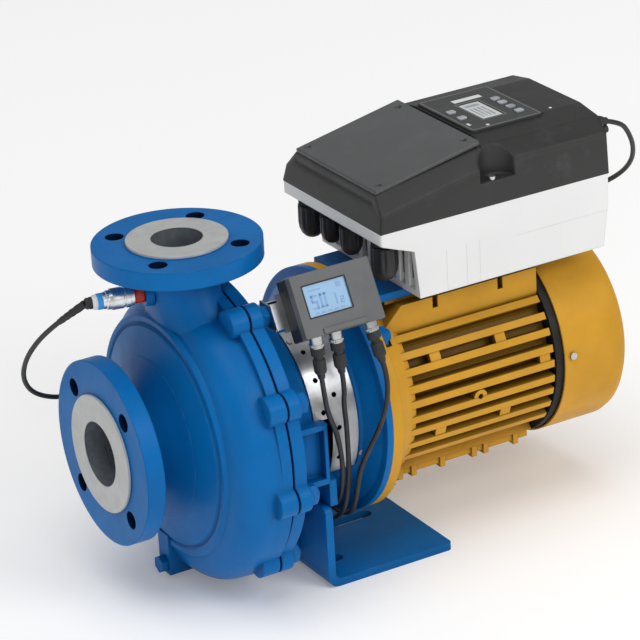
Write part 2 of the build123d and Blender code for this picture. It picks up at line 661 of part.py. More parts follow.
# ---------------------------------------------------------------- pressure sensors
SENSORS = {"discharge": (SENSOR_ROOT, SENSOR_DIRECTION, (-0.72, 0.42, -0.55)),
           "suction": (SUCTION_TAP, (0, 1, 0), (0.12, 1, -0.06))}
SENSOR_STEPS = dict(base=10, body=31, band=10, relief=7, tail=7)


def make_sensors():
    """Both sensors; returns the points where their leads begin."""
    t = SENSOR_STEPS
    bases, bodies, bands, reliefs, exits = Part(), Part(), Part(), Part(), []
    for root, direction, leaving in SENSORS.values():
        place = along(root, direction, SEAT)
        bases += rod(place, direction, t["base"], 8.5)
        place = along(place, direction, t["base"])
        bodies += rod(place, direction, t["body"], 10.5)
        place = along(place, direction, t["body"])
        bands += rod(place, direction, t["band"], 8)
        place = along(place, direction, t["band"])
        reliefs += rod(place, direction, t["relief"], 6)
        place = along(place, direction, t["relief"])
        reliefs += Pos(*place) * Sphere(4)
        reliefs += rod(place, leaving, t["tail"], 4)
        exits.append((along(place, leaving, t["tail"]), along(place, leaving, t["tail"] + 15)))
    node("sensor_bases", bases)
    node("sensor_bodies", bodies)
    node("sensor_bands", bands)
    node("sensor_reliefs", reliefs)
    return exits


# ---------------------------------------------------------------- leads
def lead(name, points, radius=CORD):
    """Lead along straight runs joined by arcs as large as the runs allow."""
    vectors = [Vector(*p) for p in points]
    radii = []
    for before, here, after in zip(vectors, vectors[1:], vectors[2:]):
        turn = radians((here - before).get_angle(after - here))
        shorter = min((here - before).length, (after - here).length)
        radii.append(0.45 * shorter / tan(turn / 2))
    path = FilletPolyline(*vectors, radius=radii)
    section = Plane(origin=path @ 0, z_dir=path % 0) * Circle(radius)
    tube = sweep(section, path=path, transition=Transition.ROUND)
    length = path.length
    print(f"{name}: length {length:.0f}, tightest arc {min(radii):.0f}, widest {max(radii):.0f}, "
          f"volume ratio {tube.volume / (pi * radius ** 2 * length):.4f}")
    node(name, tube)


SERVICE_PLUG = ((535, -70, 237), (1, -0.02, -0.3))
SPARE_PLUG = ((535, -70, 225), (1, 0, 0))


def make_service_plugs():
    plugs = Part()
    for start, direction in (SERVICE_PLUG, SPARE_PLUG):
        plugs += rod(start, direction, 8, 4.8)
        plugs += rod(along(start, direction, 8), direction, 6, 4.0)
    node("service_plugs", plugs - block(500, 535, -100, 100, 200, 260))
    return along(*SERVICE_PLUG, 14)


DISCHARGE_ROUTE = [(-20.5, 39, 124.5), (-28, 60, 104), (-32, 82, 78), (-28, 101, 50), (-13, 114, 26),
                   (13, 121, 11), (41, 130, 4), (70, 146, 0), (101, 161, -6), (135, 169, -15), (166, 161, -32),
                   (192, 143, -54), (213, 115, -78), (223, 78, -96), (226, 38, -104), (224, 0, -104), (219, -34, -101),
                   (214, -62, -95), (210, -84, -84), (208, -98, -67), (207.5, -105, -45), (205, -109, -20),
                   (199, -113, 7), (188, -117, 33)]
SUCTION_ROUTE = [(43, 146, -4), (56, 164, -13), (78, 172, -24), (107, 175, -35), (138, 173, -46),
                 (170, 165, -60), (199, 148, -82), (220, 122, -103), (229, 92, -118), (231, 56, -127),
                 (229, 18, -127), (224, -18, -122), (219, -50, -114), (215, -76, -102), (213, -94, -86),
                 (213, -103, -63), (214, -106, -38), (213.5, -107, -12), (211, -111, 14), (206, -116.5, 39)]
SUPPLY_ROUTE = [(243, -136, 36), (236, -132, 11), (227, -124, -13), (221, -115, -37), (220, -109, -62),
                (222, -98, -84), (226, -80, -100), (231, -52, -110), (236, -18, -114), (240, 20, -112),
                (239, 58, -101), (236, 92, -80), (236, 122, -48), (245, 142, -10), (266, 149, 27),
                (298, 148, 48), (338, 139, 61), (384, 130, 70), (432, 122, 75), (480, 116, 82), (523, 107, 90),
                (560, 86, 100), (586, 54, 110), (600, 20, 125), (605, -11, 145), (602, -37, 168), (592, -55, 192),
                (578, -66, 214)]


def make_leads(discharge_exit, suction_exit, service_exit):
    """A lead leaves each plug and each sensor along that piece's own axis."""
    left, middle, right = [(along(*plug, 35), along(*plug, 51)) for plug in PLUGS.values()]
    service = along(*SERVICE_PLUG, 32)
    lead("discharge_sensor_lead", [*discharge_exit, *DISCHARGE_ROUTE, left[1], left[0]])
    lead("suction_sensor_lead", [*suction_exit, *SUCTION_ROUTE, middle[1], middle[0]])
    lead("monitor_supply_lead", [right[0], right[1], *SUPPLY_ROUTE, service, service_exit])


def main():
    make_casing()
    make_flanges()
    make_wet_end_inside()
    make_lantern()
    make_foot()
    make_motor_frame()
    make_motor_inside()
    make_drive(make_fan_and_cowl())
    make_glands()
    make_panel()
    make_monitor()
    discharge_exit, suction_exit = make_sensors()
    service_exit = make_service_plugs()
    make_leads(discharge_exit, suction_exit, service_exit)
    os.makedirs("parts", exist_ok=True)
    for name, shape in solids.items():
        export_step(shape, f"parts/{name}.step")


main()
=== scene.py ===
"""Looks for the centrifugal water pump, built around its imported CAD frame. Everything is in metres."""
import bpy
import bmesh
from math import cos, pi, radians, sin
from mathutils import Matrix, Vector


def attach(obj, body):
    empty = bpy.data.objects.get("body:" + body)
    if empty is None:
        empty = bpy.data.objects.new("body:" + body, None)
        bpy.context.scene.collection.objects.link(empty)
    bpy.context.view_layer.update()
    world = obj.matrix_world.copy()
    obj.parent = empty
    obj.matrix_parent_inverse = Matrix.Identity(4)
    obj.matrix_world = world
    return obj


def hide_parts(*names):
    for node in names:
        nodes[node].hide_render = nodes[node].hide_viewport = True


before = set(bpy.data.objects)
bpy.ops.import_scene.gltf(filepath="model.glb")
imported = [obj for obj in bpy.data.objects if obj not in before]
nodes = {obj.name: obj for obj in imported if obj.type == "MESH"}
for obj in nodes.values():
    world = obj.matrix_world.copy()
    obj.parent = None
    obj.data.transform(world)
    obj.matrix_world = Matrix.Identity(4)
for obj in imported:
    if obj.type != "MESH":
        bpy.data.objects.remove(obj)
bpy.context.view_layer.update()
FLOOR = -0.160
MM = 0.001


def metres(points):
    return [tuple(c * MM for c in p) for p in points]


# ---------------------------------------------------------------- camera
AZIMUTH, ELEVATION, ROLL = radians(-29.397), radians(23.464), radians(-3.297)
TARGET = Vector((0.05107, -0.35486, 0.25024))
DISTANCE = 2.96052


def make_camera():
    data = bpy.data.cameras.new("camera")
    data.lens = 194.44
    data.sensor_width = 36.0
    data.clip_end = 100.0
    cam = bpy.data.objects.new("camera", data)
    bpy.context.scene.collection.objects.link(cam)
    back = Vector((sin(AZIMUTH) * cos(ELEVATION), -cos(AZIMUTH) * cos(ELEVATION), sin(ELEVATION)))
    right = (-back).cross(Vector((0, 0, 1))).normalized()
    up = right.cross(-back)
    turned_right = right * cos(ROLL) + up * sin(ROLL)
    turned_up = up * cos(ROLL) - right * sin(ROLL)
    place = Matrix((turned_right, turned_up, back)).transposed().to_4x4()
    place.translation = TARGET + back * DISTANCE
    cam.matrix_world = place
    bpy.context.scene.camera = cam


# ---------------------------------------------------------------- node materials
class Shader:
    """Small helper around one material's node tree."""

    def __init__(self, name):
        self.mat = bpy.data.materials.new(name)
        self.mat.use_nodes = True
        self.tree = self.mat.node_tree
        self.bsdf = self.tree.nodes["Principled BSDF"]
        self.coords = self.tree.nodes.new("ShaderNodeTexCoord").outputs["Object"]

    def node(self, kind, **values):
        made = self.tree.nodes.new(kind)
        for key, value in values.items():
            setattr(made, key, value)
        return made

    def link(self, source, target):
        if hasattr(source, "is_output"):
            self.tree.links.new(source, target)
        else:
            target.default_value = source

    def math(self, operation, a, b=0.0, clamp=False):
        made = self.node("ShaderNodeMath", operation=operation, use_clamp=clamp)
        self.link(a, made.inputs[0])
        self.link(b, made.inputs[1])
        return made.outputs[0]

    def mix(self, factor, a, b):
        made = self.node("ShaderNodeMix", data_type="RGBA")
        self.link(factor, made.inputs[0])
        self.link(a if hasattr(a, "is_output") else (*a, 1), made.inputs[6])
        self.link(b if hasattr(b, "is_output") else (*b, 1), made.inputs[7])
        return made.outputs[2]

    def noise(self, scale, detail=3.0, rough=0.5, coords=None):
        made = self.node("ShaderNodeTexNoise")
        made.inputs["Scale"].default_value = scale
        made.inputs["Detail"].default_value = detail
        made.inputs["Roughness"].default_value = rough
        self.link(coords or self.coords, made.inputs["Vector"])
        return made.outputs["Fac"]

    def ramp(self, value, low, high):
        made = self.node("ShaderNodeMapRange")
        made.inputs["From Min"].default_value = low
        made.inputs["From Max"].default_value = high
        self.link(value, made.inputs["Value"])
        return made.outputs["Result"]

    def split(self):
        made = self.node("ShaderNodeSeparateXYZ")
        self.link(self.coords, made.inputs[0])
        return made.outputs

    def radius(self, a, b, a0=0.0, b0=0.0):
        """Distance of the two coordinates from a centre."""
        da = self.math("SUBTRACT", a, a0)
        db = self.math("SUBTRACT", b, b0)
        squares = self.math("ADD", self.math("MULTIPLY", da, da), self.math("MULTIPLY", db, db))
        return self.math("SQRT", squares)


def scaled(color, k):
    return tuple(min(1.0, c * k) for c in color)


def finish_surface(s, color, roughness, height, strength, distance, edge, rough_spread=0.08):
    """Wires the colour, a varied roughness, the bump and rounded-looking edges to the shader."""
    bevel = s.node("ShaderNodeBevel", samples=6)
    bevel.inputs["Radius"].default_value = edge
    bump = s.node("ShaderNodeBump")
    bump.inputs["Strength"].default_value = strength
    bump.inputs["Distance"].default_value = distance
    s.link(height, bump.inputs["Height"])
    s.link(bevel.outputs["Normal"], bump.inputs["Normal"])
    s.link(bump.outputs["Normal"], s.bsdf.inputs["Normal"])
    s.link(color, s.bsdf.inputs["Base Color"])
    spread = s.ramp(s.noise(38, 4), 0.3, 0.7)
    rough = s.math("ADD", s.math("MULTIPLY", spread, rough_spread), roughness - rough_spread / 2)
    s.link(rough, s.bsdf.inputs["Roughness"])
    return s.mat


def edge_mask(s, radius):
    """1 along convex and concave edges, 0 on flat areas."""
    bevel = s.node("ShaderNodeBevel", samples=4)
    bevel.inputs["Radius"].default_value = radius
    geometry = s.node("ShaderNodeNewGeometry")
    dot = s.node("ShaderNodeVectorMath", operation="DOT_PRODUCT")
    s.link(bevel.outputs["Normal"], dot.inputs[0])
    s.link(geometry.outputs["Normal"], dot.inputs[1])
    return s.ramp(dot.outputs["Value"], 0.99, 0.80)


def paint(name, color, roughness=0.38, cast=0.5, edge=0.0022, wear=0.18, corner_shade=0.60):
    """Enamel on a sand casting: slow waviness, fine orange peel, painted shade in the corners, thin edges."""
    s = Shader(name)
    peel = s.noise(420, 2)
    sand = s.noise(1500, 2)
    wave = s.noise(70, 4)
    height = s.math("ADD", s.math("MULTIPLY", peel, 0.35), s.math("MULTIPLY", wave, cast))
    height = s.math("ADD", height, s.math("MULTIPLY", sand, 0.12))
    tone = s.ramp(s.noise(14, 5, 0.6), 0.25, 0.75)
    base = s.mix(tone, scaled(color, 0.86), scaled(color, 1.12))
    # Ambient occlusion darkens the paint in corners and recesses: painted shade, scaled by the last argument.
    occlusion = s.node("ShaderNodeAmbientOcclusion", samples=6)
    occlusion.inputs["Distance"].default_value = 0.03
    shade = s.ramp(occlusion.outputs["AO"], 0.90, 0.20)
    base = s.mix(s.math("MULTIPLY", shade, corner_shade), base, scaled(color, 0.12))
    rub = s.math("MULTIPLY", edge_mask(s, 0.0012), s.ramp(s.noise(90, 5), 0.45, 0.65))
    base = s.mix(s.math("MULTIPLY", rub, wear, True), base, scaled([c * 0.7 + 0.22 for c in color], 1.0))
    s.bsdf.inputs["Specular IOR Level"].default_value = 0.12
    return finish_surface(s, base, roughness, height, 0.28, 0.0011, edge, 0.12)


DISCHARGE_X = 0.100         # discharge centreline
HOLE_RADIUS = 0.00915       # flange bolt holes, just over their wall
SUCTION_HOLE = 0.05127      # a suction hole's distance from each axis
DISCHARGE_HOLE = 0.0442
TURNING_PITCH = 0.0009      # turned marks on the raised faces


def casing_paint(name, color):
    """The casing's enamel, with both raised faces and the bores left as machined metal."""
    mat = paint(name, color)
    s = Shader.__new__(Shader)
    s.mat, s.tree = mat, mat.node_tree
    s.bsdf = s.tree.nodes["Principled BSDF"]
    s.coords = next(n for n in s.tree.nodes if n.bl_idname == "ShaderNodeTexCoord").outputs["Object"]
    x, y, z = s.split()
    suction = s.radius(y, z)
    discharge = s.radius(x, y, DISCHARGE_X, 0.0)
    face_s = s.math("MULTIPLY", s.math("LESS_THAN", x, 0.0022), s.math("LESS_THAN", suction, 0.0600))
    face_d = s.math("MULTIPLY", s.math("GREATER_THAN", z, 0.1978), s.math("LESS_THAN", discharge, 0.0505))
    bore_s = s.math("MULTIPLY", s.math("LESS_THAN", x, 0.080), s.math("LESS_THAN", suction, 0.0345))
    bore_d = s.math("MULTIPLY", s.math("GREATER_THAN", z, 0.100), s.math("LESS_THAN", discharge, 0.0290))
    hole_s = s.radius(s.math("ABSOLUTE", y), s.math("ABSOLUTE", z), SUCTION_HOLE, SUCTION_HOLE)
    off_centre = s.math("ABSOLUTE", s.math("SUBTRACT", x, DISCHARGE_X))
    hole_d = s.radius(off_centre, s.math("ABSOLUTE", y), DISCHARGE_HOLE, DISCHARGE_HOLE)
    hole_s = s.math("MULTIPLY", s.math("LESS_THAN", x, 0.0221), s.math("LESS_THAN", hole_s, HOLE_RADIUS))
    hole_d = s.math("MULTIPLY", s.math("GREATER_THAN", z, 0.1789), s.math("LESS_THAN", hole_d, HOLE_RADIUS))
    hole_shade = s.math("MAXIMUM", hole_s, hole_d)
    bore_s = s.math("MULTIPLY", bore_s, s.math("GREATER_THAN", x, 0.0004))
    bore_d = s.math("MULTIPLY", bore_d, s.math("LESS_THAN", z, 0.1996))
    face = s.math("MAXIMUM", face_s, face_d)
    bore = s.math("MAXIMUM", bore_s, bore_d)
    turned_s = s.math("SINE", s.math("MULTIPLY", suction, 2 * pi / TURNING_PITCH))
    turned_d = s.math("SINE", s.math("MULTIPLY", discharge, 2 * pi / TURNING_PITCH))
    groove = s.math("ADD", s.math("MULTIPLY", turned_s, face_s), s.math("MULTIPLY", turned_d, face_d))
    stain = s.ramp(s.noise(55, 6, 0.65), 0.3, 0.75)
    metal = s.mix(stain, (0.43, 0.44, 0.44), (0.56, 0.57, 0.57))
    metal = s.mix(s.math("MULTIPLY", s.ramp(groove, -1, 1), 0.5), metal, (0.58, 0.59, 0.59))
    rough_bore = s.mix(s.noise(160, 5), (0.08, 0.095, 0.11), (0.17, 0.19, 0.21))
    old = s.bsdf.inputs["Base Color"].links[0].from_socket
    # The flange bolt holes are painted near-black navy: painted shade inside the holes.
    color = s.mix(face, s.mix(hole_shade, old, (0.001, 0.012, 0.045)), metal)
    s.link(s.mix(bore, color, rough_bore), s.bsdf.inputs["Base Color"])
    s.link(s.math("MULTIPLY", face, 0.25), s.bsdf.inputs["Metallic"])
    bump = s.bsdf.inputs["Normal"].links[0].from_node
    height = bump.inputs["Height"].links[0].from_socket
    s.link(s.math("ADD", s.math("MULTIPLY", groove, 0.25), height), bump.inputs["Height"])
    return mat


def metal(name, color, roughness=0.3, brushed=(1, 1, 30), edge=0.0004, strength=0.15):
    """Bare metal with drawn or turned marks along one direction."""
    s = Shader(name)
    mapping = s.node("ShaderNodeMapping")
    mapping.inputs["Scale"].default_value = brushed
    s.link(s.coords, mapping.inputs["Vector"])
    marks = s.noise(220, 4, 0.6, mapping.outputs["Vector"])
    tone = s.ramp(s.noise(60, 5), 0.3, 0.7)
    base = s.mix(tone, scaled(color, 0.80), scaled(color, 1.08))
    # Every edge is brightened to 1.35 times the colour: a painted highlight along the edges.
    base = s.mix(s.math("MULTIPLY", edge_mask(s, 0.0006), 0.5, True), base, scaled(color, 1.35))
    s.bsdf.inputs["Metallic"].default_value = 1.0
    return finish_surface(s, base, roughness, marks, strength, 0.0004, edge, 0.14)


def plastic(name, color, roughness=0.45, grain=900, strength=0.18, edge=0.0008, tone_amount=0.06, coat=0.0):
    """Moulded plastic with a spark-eroded grain and faint handling marks."""
    s = Shader(name)
    fine = s.noise(grain, 3, 0.6)
    tone = s.ramp(s.noise(9, 4), 0.3, 0.7)
    base = s.mix(tone, scaled(color, 1 - tone_amount), scaled(color, 1 + tone_amount))
    dust = s.math("MULTIPLY", s.ramp(s.noise(30, 6, 0.7), 0.55, 0.8), 0.10)
    base = s.mix(dust, base, scaled([c * 0.6 + 0.25 for c in color], 1))
    s.bsdf.inputs["Coat Weight"].default_value = coat
    s.bsdf.inputs["Specular IOR Level"].default_value = 0.35
    return finish_surface(s, base, roughness, fine, strength, 0.0003, edge)


def rubber(name, color=(0.012, 0.012, 0.013), roughness=0.5):
    s = Shader(name)
    tone = s.ramp(s.noise(80, 5), 0.3, 0.7)
    base = s.mix(tone, scaled(color, 0.8), scaled([c + 0.006 for c in color], 1.3))
    return finish_surface(s, base, roughness, s.noise(1300, 3), 0.12, 0.0002, 0.0005)


PIXEL_WAVE = 9000           # radians per metre of the displays' pixel grid


def display(name, color):
    """Liquid crystal with an even tone and a faint pixel pitch; its emission makes it glow, painted light
    that brightens it.
    """
    s = Shader(name)
    x, y, z = s.split()
    columns = s.math("SINE", s.math("MULTIPLY", x, PIXEL_WAVE))
    rows = s.math("SINE", s.math("MULTIPLY", z, PIXEL_WAVE))
    pitch = s.math("MULTIPLY", columns, rows)
    glow = s.ramp(s.noise(20, 2), 0.3, 0.7)
    base = s.mix(glow, scaled(color, 0.94), scaled(color, 1.05))
    base = s.mix(s.math("MULTIPLY", s.ramp(pitch, 0.2, 1), 0.06), base, scaled(color, 0.5))
    # The emission is painted light: it makes the screens and their printed segments glow brighter.
    s.link(base, s.bsdf.inputs["Emission Color"])
    s.bsdf.inputs["Emission Strength"].default_value = 0.22
    s.bsdf.inputs["Coat Weight"].default_value = 0.5
    s.bsdf.inputs["Coat Roughness"].default_value = 0.08
    return finish_surface(s, base, 0.35, s.noise(500, 2), 0.03, 0.0001, 0.0002)


BLUE = (0.0010, 0.132, 0.405)
GOLD = (0.60, 0.305, 0.028)
M = {}


def make_materials():
    M["casing"] = casing_paint("casing_paint", BLUE)
    M["blue"] = paint("blue_paint", BLUE)
    M["blue_sheet"] = paint("blue_plate_paint", BLUE, cast=0.12, edge=0.0009)
    M["gold"] = paint("gold_paint", GOLD, roughness=0.40, cast=0.4, edge=0.0016, corner_shade=0.95)
    M["cowl"] = paint("cowl_paint", GOLD, roughness=0.40, cast=0.06, edge=0.002)
    # Near-black iron for the rear end shield and its spigot: painted shade in the gap under the cowl.
    M["shadow_iron"] = metal("end_shield_painted_shade", (0.05, 0.048, 0.045), 0.65, (1, 1, 1), 0.001, 0.4)
    M["iron"] = metal("cast_iron", (0.22, 0.22, 0.23), 0.6, (1, 1, 1), 0.0012, 0.5)
    M["zinc"] = metal("zinc_steel", (0.62, 0.63, 0.65), 0.34, (1, 1, 1))
    M["stainless"] = metal("stainless_steel", (0.50, 0.51, 0.52), 0.34, (1, 1, 1), 0.0004, 0.03)
    M["shaft"] = metal("ground_steel", (0.55, 0.56, 0.58), 0.22, (30, 1, 1))
    M["core"] = metal("laminated_core", (0.25, 0.25, 0.26), 0.5, (60, 1, 1))
    M["copper"] = metal("winding_copper", (0.60, 0.26, 0.12), 0.35, (1, 30, 30))
    M["carbon"] = plastic("seal_carbon", (0.03, 0.03, 0.034), 0.25)
    M["housing"] = plastic("pale_housing", (0.78, 0.785, 0.78), 0.42, 500, 0.25, 0.0014, 0.03)
    M["cover"] = plastic("dark_cover", (0.026, 0.026, 0.0255), 0.40, 1100, 0.16, 0.0042, 0.10)
    M["lid"] = plastic("dark_lid", (0.088, 0.090, 0.092), 0.34, 1100, 0.14, 0.0034, 0.10)
    M["bezel"] = plastic("panel_film", (0.040, 0.041, 0.042), 0.32, 800, 0.10, 0.0005)
    M["black"] = plastic("black_plastic", (0.027, 0.027, 0.028), 0.42, 900, 0.15, 0.0008)
    M["board"] = plastic("circuit_board", (0.02, 0.12, 0.05), 0.35)
    M["bright"] = metal("bright_steel", (0.80, 0.81, 0.82), 0.30, (1, 1, 1))
    M["face"] = plastic("monitor_face", (0.105, 0.109, 0.111), 0.42, 900, 0.10, 0.0008)
    M["seam"] = plastic("mould_line", (0.64, 0.645, 0.64), 0.5, 500, 0.1, 0.0002)
    M["line"] = plastic("panel_line", (0.30, 0.31, 0.31), 0.4, 900, 0.05, 0.0002)
    M["red"] = plastic("red_plastic", (0.42, 0.028, 0.010), 0.30, 900, 0.08, 0.0008)
    M["cyan"] = plastic("blue_band", (0.03, 0.33, 0.78), 0.28, 900, 0.08, 0.0008)
    M["key"] = rubber("key_silicone", (0.33, 0.35, 0.37), 0.5)
    M["white"] = plastic("white_print", (0.72, 0.73, 0.73), 0.4, 900, 0.05, 0.0002)
    M["print"] = display("segment_print", (0.07, 0.20, 0.42))
    M["lcd"] = display("monitor_display", (0.12, 0.28, 0.46))
    M["lcd2"] = display("panel_display", (0.52, 0.53, 0.53))
    M["cable"] = rubber("cable_jacket")
    M["gasket"] = rubber("gasket_sheet", (0.05, 0.055, 0.055), 0.6)


NODE_MATERIAL = {
    "volute_casing": "casing", "suction_flange_ring": "casing", "discharge_flange_ring": "casing",
    "casing_cover": "iron", "casing_wear_ring": "iron", "casing_gasket": "gasket",
    "casing_bolts": "blue", "drain_plug": "blue", "impeller": "iron", "impeller_key": "shaft",
    "impeller_nut": "shaft", "seal_rotating_ring": "carbon", "seal_stationary_ring": "carbon",
    "seal_spring": "stainless", "pump_shaft": "shaft", "motor_shaft": "shaft", "drive_lantern": "blue",
    "foot_bracket": "blue_sheet", "lantern_bolts": "blue", "window_guards": "stainless",
    "guard_screws": "stainless", "motor_frame": "gold", "drive_end_shield": "iron",
    "rear_end_shield": "shadow_iron",
    "stator_core": "core", "stator_winding": "copper", "rotor_core": "core", "bearing_inner_rings": "shaft",
    "bearing_outer_rings": "shaft", "cooling_fan": "black", "fan_cowl": "cowl",
    "drive_adapter": "blue", "drive_heatsink": "housing", "drive_circuit_board": "board",
    "drive_cover": "cover", "terminal_lid": "lid", "cover_screws": "zinc", "cable_glands": "black",
    "panel_bezel": "bezel", "panel_windows": "lcd2", "up_key": "key", "down_key": "key",
    "back_key": "key", "enter_key": "key", "manual_key": "key", "auto_key": "key", "monitor_front": "face",
    "monitor_housing": "black", "monitor_screen": "lcd", "monitor_sockets": "stainless",
    "monitor_plugs": "black", "monitor_bracket": "stainless", "sensor_bases": "red",
    "sensor_bodies": "stainless", "sensor_bands": "cyan", "sensor_reliefs": "black",
    "service_plugs": "black", "discharge_sensor_lead": "cable", "suction_sensor_lead": "cable",
    "monitor_supply_lead": "cable",
}


def dress_nodes():
    for name, key in NODE_MATERIAL.items():
        obj = nodes[name]
        obj.data.materials.clear()
        obj.data.materials.append(M[key])
        obj.data.polygons.foreach_set("use_smooth", [True] * len(obj.data.polygons))
        split = obj.modifiers.new("edges", "EDGE_SPLIT")
        split.split_angle = radians(32)


# ---------------------------------------------------------------- mesh helpers
def piece(name, bm, material, body="stationary", smooth=35, bevel=0.0, replaces=()):
    """Turns a bmesh into a named piece that rides on a body."""
    mesh = bpy.data.meshes.new(name)
    bmesh.ops.recalc_face_normals(bm, faces=bm.faces)
    bm.to_mesh(mesh)
    bm.free()
    mesh.materials.append(M[material])
    mesh.polygons.foreach_set("use_smooth", [True] * len(mesh.polygons))
    obj = bpy.data.objects.new(name, mesh)
    bpy.context.scene.collection.objects.link(obj)
    if bevel:
        mod = obj.modifiers.new("bevel", "BEVEL")
        mod.width = bevel
        mod.segments = 3
        mod.limit_method = "ANGLE"
        mod.angle_limit = radians(40)
    split = obj.modifiers.new("edges", "EDGE_SPLIT")
    split.split_angle = radians(smooth)
    if replaces:
        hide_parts(*replaces)
    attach(obj, body)
    return obj


def axis_matrix(origin, direction):
    """Matrix that takes local +Z to a direction at an origin given in millimetres."""
    turn = Vector(direction).normalized().to_track_quat("Z", "Y").to_matrix().to_4x4()
    return Matrix.Translation(Vector(origin) * MM) @ turn


def lathe(bm, matrix, profile, sides=48, ribs=0, depth=0.0, ribbed=()):
    """Adds a turned form from (height, radius) points; the levels in ribbed get ribs cut into them."""
    rings = []
    for level, (height, radius) in enumerate(profile):
        ring = []
        for k in range(sides):
            a = 2 * pi * k / sides
            r = radius
            if ribs and level in ribbed:
                r -= depth * (0.5 + 0.5 * cos(ribs * a)) ** 2
            ring.append(bm.verts.new(matrix @ Vector((r * MM * cos(a), r * MM * sin(a), height * MM))))
        rings.append(ring)
    for low, high in zip(rings, rings[1:]):
        for k in range(sides):
            n = (k + 1) % sides
            bm.faces.new((low[k], low[n], high[n], high[k]))
    bm.faces.new(rings[0][::-1])
    bm.faces.new(rings[-1])


def hex_nut(bm, matrix, low, high, flats, chamfer=0.9):
    """Adds a hexagonal nut with chamfered corners between two heights."""
    r = flats / 2 / cos(pi / 6)
    rings = []
    rise = chamfer * 0.58
    for height, cut in ((low, chamfer), (low + rise, 0), (high - rise, 0), (high, chamfer)):
        ring = []
        for k in range(24):
            a = 2 * pi * k / 24
            hexed = flats / 2 / cos((a % (pi / 3)) - pi / 6)
            ring.append(min(hexed, r - cut))
        corners = [(q * MM * cos(2 * pi * k / 24), q * MM * sin(2 * pi * k / 24)) for k, q in enumerate(ring)]
        rings.append([bm.verts.new(matrix @ Vector((y, z, height * MM))) for y, z in corners])
    for a, b in zip(rings, rings[1:]):
        for k in range(24):
            n = (k + 1) % 24
            bm.faces.new((a[k], a[n], b[n], b[k]))
    bm.faces.new(rings[0][::-1])
    bm.faces.new(rings[-1])


def slab(bm, matrix, x0, x1, y0, y1, z0, z1):
    """Adds a box between two corners, in millimetres, moved by a matrix."""
    corners = [(x, y, z) for x in (x0, x1) for y in (y0, y1) for z in (z0, z1)]
    v = [bm.verts.new(matrix @ (Vector(c) * MM)) for c in corners]
    for f in ((0, 1, 3, 2), (4, 6, 7, 5), (0, 4, 5, 1), (2, 3, 7, 6), (0, 2, 6, 4), (1, 5, 7, 3)):
        bm.faces.new([v[i] for i in f])


# ---------------------------------------------------------------- fasteners
BOSS_ANGLES = [25 + 36 * k for k in range(10)]


def stud_profile(start, end, radius, pitch=1.75):
    """Threaded stud end: ridges of a thread between two heights, with a chamfered tip."""
    points = [(start, radius)]
    height = start
    while height + pitch < end - 1:
        points += [(height + pitch * 0.15, radius), (height + pitch * 0.5, radius - 0.75),
                   (height + pitch * 0.85, radius)]
        height += pitch
    return points + [(end - 1, radius), (end, radius - 1.2)]


def make_casing_bolts():
    bm = bmesh.new()
    for a in BOSS_ANGLES:
        y, z = -149 * cos(radians(a)), 149 * sin(radians(a))
        place = axis_matrix((0, y, z), (1, 0, 0)) @ Matrix.Rotation(radians(a * 1.7), 4, "Z")
        lathe(bm, place, stud_profile(111, 155, 5.9), 32)
        low = z < -140
        washer = 11.4 if low else 12.3
        lathe(bm, place, [(141.5, washer - 0.3), (141.8, washer), (143.3, washer), (143.6, washer - 0.3)], 40)
        hex_nut(bm, place, 143.6, 151.5, 18 if low else 19)
    piece("casing_studs_and_nuts", bm, "blue", replaces=["casing_bolts"])


# ---------------------------------------------------------------- cable glands
GLANDS = [(72, 12.5, 131), (33, 10.5, 137), (-4, 10.5, 136), (-66, 12.5, 130)]


def make_glands():
    bm = bmesh.new()
    for y, radius, low in GLANDS:
        place = axis_matrix((289, y, 0), (0, 0, -1))
        top = -176
        hex_nut(bm, place, top, top + 9, 2 * radius, 0.8)
        lathe(bm, place, [(top + 9, radius * 0.8), (top + 11, radius * 0.8)], 40)
        nut = top + 11
        tall = -low - nut
        profile = [(nut, radius), (nut + 1, radius * 1.1), (nut + tall * 0.5, radius * 1.12),
                   (nut + tall * 0.7, radius * 1.04), (nut + tall * 0.86, radius * 0.86),
                   (nut + tall * 0.97, radius * 0.58), (-low, radius * 0.42), (-low, radius * 0.3),
                   (-low - 3, radius * 0.3)]
        lathe(bm, place, profile, 96, 12, 1.2, (1, 2))
        lathe(bm, place, [(-181, radius * 0.5), (top, radius * 0.5)], 32)
    piece("gland_nuts", bm, "black", replaces=["cable_glands"])


# ---------------------------------------------------------------- monitor
MONITOR = Matrix.Translation(Vector((208, -112, 147)) * MM) @ Matrix.Rotation(radians(-28.4), 4, "X")
SEGMENTS = {"0": "abcdef", "1": "bc", "2": "abged", "4": "fgbc", "5": "afgcd", "8": "abcdefg"}


def digit(bm, matrix, text, x, z, width, height, thick, y0, y1):
    """Adds a seven-segment number with its lower left corner at (x, z)."""
    half = height / 2
    bars = {"a": (0, width, height - thick, height), "g": (0, width, half - thick / 2, half + thick / 2),
            "d": (0, width, 0, thick), "f": (0, thick, half, height), "e": (0, thick, 0, half),
            "b": (width - thick, width, half, height), "c": (width - thick, width, 0, half)}
    for key in SEGMENTS[text]:
        x0, x1, z0, z1 = bars[key]
        gap = 0.1
        slab(bm, matrix, x + x0 + gap, x + x1 - gap, y0, y1, z + z0 + gap, z + z1 - gap)


